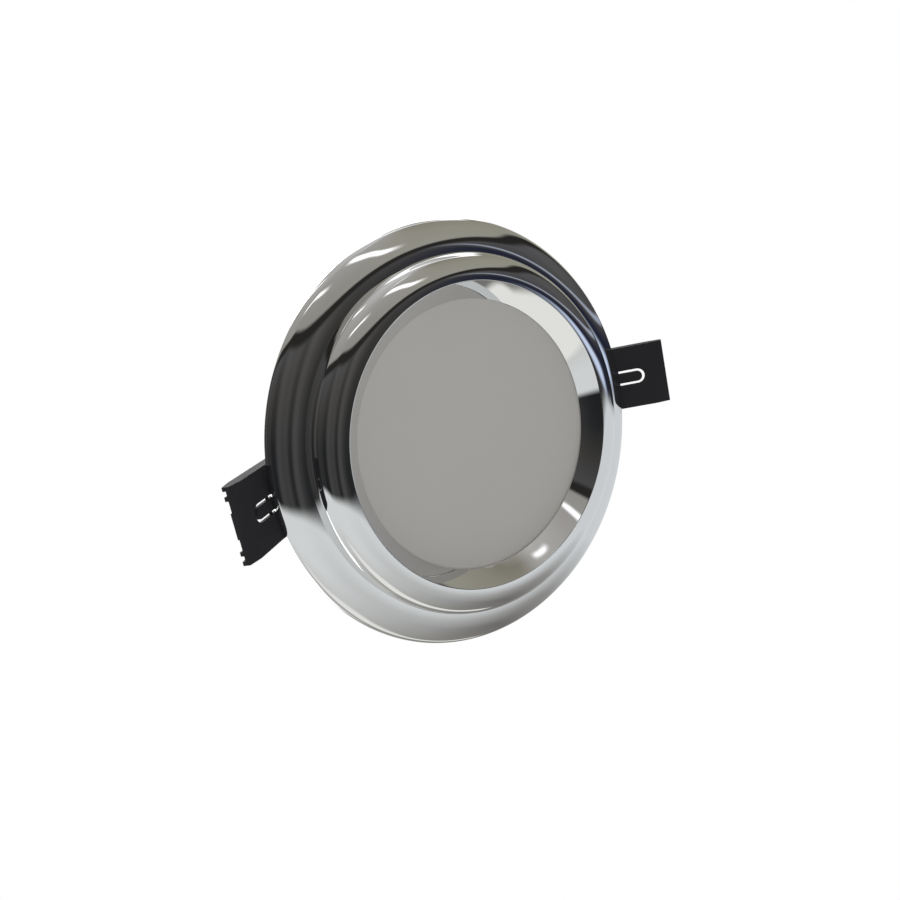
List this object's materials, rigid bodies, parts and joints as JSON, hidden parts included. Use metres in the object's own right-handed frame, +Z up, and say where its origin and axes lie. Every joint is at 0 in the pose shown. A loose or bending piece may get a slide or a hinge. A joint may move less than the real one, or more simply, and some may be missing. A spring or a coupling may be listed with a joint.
{
  "type": "soffit downlight",
  "caption": "Recessed round downlight: chrome stepped bezel, flat opal diffuser, finned heat sink with driver box, and sprung clips that fold up to pass the ceiling hole.",
  "frame": {"origin": "on the light's axis, in the plane of the soffit's face that the bezel's back lies against", "axes": "+Z up into the soffit, so the light shines along -Z; +X through the hinge of the right clip; +Y out of the cable entry"},
  "size_m": [0.1692, 0.138, 0.0584],
  "materials": {
    "chrome": "mirror plated",
    "opal": "opal satin",
    "foam": "closed-cell foam",
    "silicone": "soft silicone",
    "white_plastic": "matt white",
    "white_board": "white solder mask on aluminium",
    "phosphor": "yellow phosphor on a white package",
    "thermal_grey": "soft grey",
    "screw_steel": "zinc plated",
    "cast_aluminium": "die-cast satin",
    "spring_steel": "bright wire",
    "black_plastic": "moulded semi-gloss",
    "case_plastic": "fine moulded texture",
    "black_rubber": "soft",
    "circuit_green": "solder mask",
    "lead_red": "insulated wire",
    "ferrite": "sintered",
    "yellow_tape": "polyester tape",
    "can_sleeve": "shrink sleeve",
    "film_box": "moulded box",
    "copper": "enamelled winding",
    "chip_black": "moulded package",
    "terminal_green": "moulded",
    "fuse_body": "lacquered"
  },
  "bodies": {
    "root": {"bezel": "chrome", "ceiling_gasket": "foam", "diffuser": "opal", "diffuser_seal": "silicone", "reflector": "white_plastic", "led_board": "white_board", "led_chips": "phosphor", "thermal_pad": "thermal_grey", "board_screws": "screw_steel", "heat_sink": "cast_aluminium", "ring_screws": "screw_steel", "clip_bracket_right": "screw_steel", "bracket_screws_right": "screw_steel", "hinge_pin_right": "screw_steel", "clip_bracket_left": "screw_steel", "bracket_screws_left": "screw_steel", "hinge_pin_left": "screw_steel", "driver_base": "case_plastic", "base_screws": "screw_steel", "driver_cover": "case_plastic", "cover_screws": "screw_steel", "cable_grommet": "black_rubber", "circuit_board": "circuit_green", "led_leads": "lead_red", "transformer_core": "ferrite", "transformer_winding": "yellow_tape", "input_capacitor": "can_sleeve", "output_capacitor": "can_sleeve", "film_capacitor": "film_box", "choke": "copper", "rectifier": "chip_black", "fuse_resistor": "fuse_body", "terminal_block": "terminal_green", "terminal_screws": "screw_steel"},
    "clip_right": {"clip_spring_right": "spring_steel", "clip_sleeve_right": "black_plastic"},
    "clip_left": {"clip_spring_left": "spring_steel", "clip_sleeve_left": "black_plastic"}
  },
  "joints": [
    {"name": "clip_right_fold", "type": "hinge", "parent": "root", "child": "clip_right", "pos_m": [0.04846, 0, 0.0245], "axis": [0, -1, 0], "range_deg": [0, 134], "stiffness_Nm_per_rad": 0.3, "springref_deg": -28.65, "deforming": ["clip_spring_right"]},
    {"name": "clip_left_fold", "type": "hinge", "parent": "root", "child": "clip_left", "pos_m": [-0.04846, 0, 0.0245], "axis": [0, 1, 0], "range_deg": [0, 134], "stiffness_Nm_per_rad": 0.3, "springref_deg": -28.65, "deforming": ["clip_spring_left"]}
  ]
}
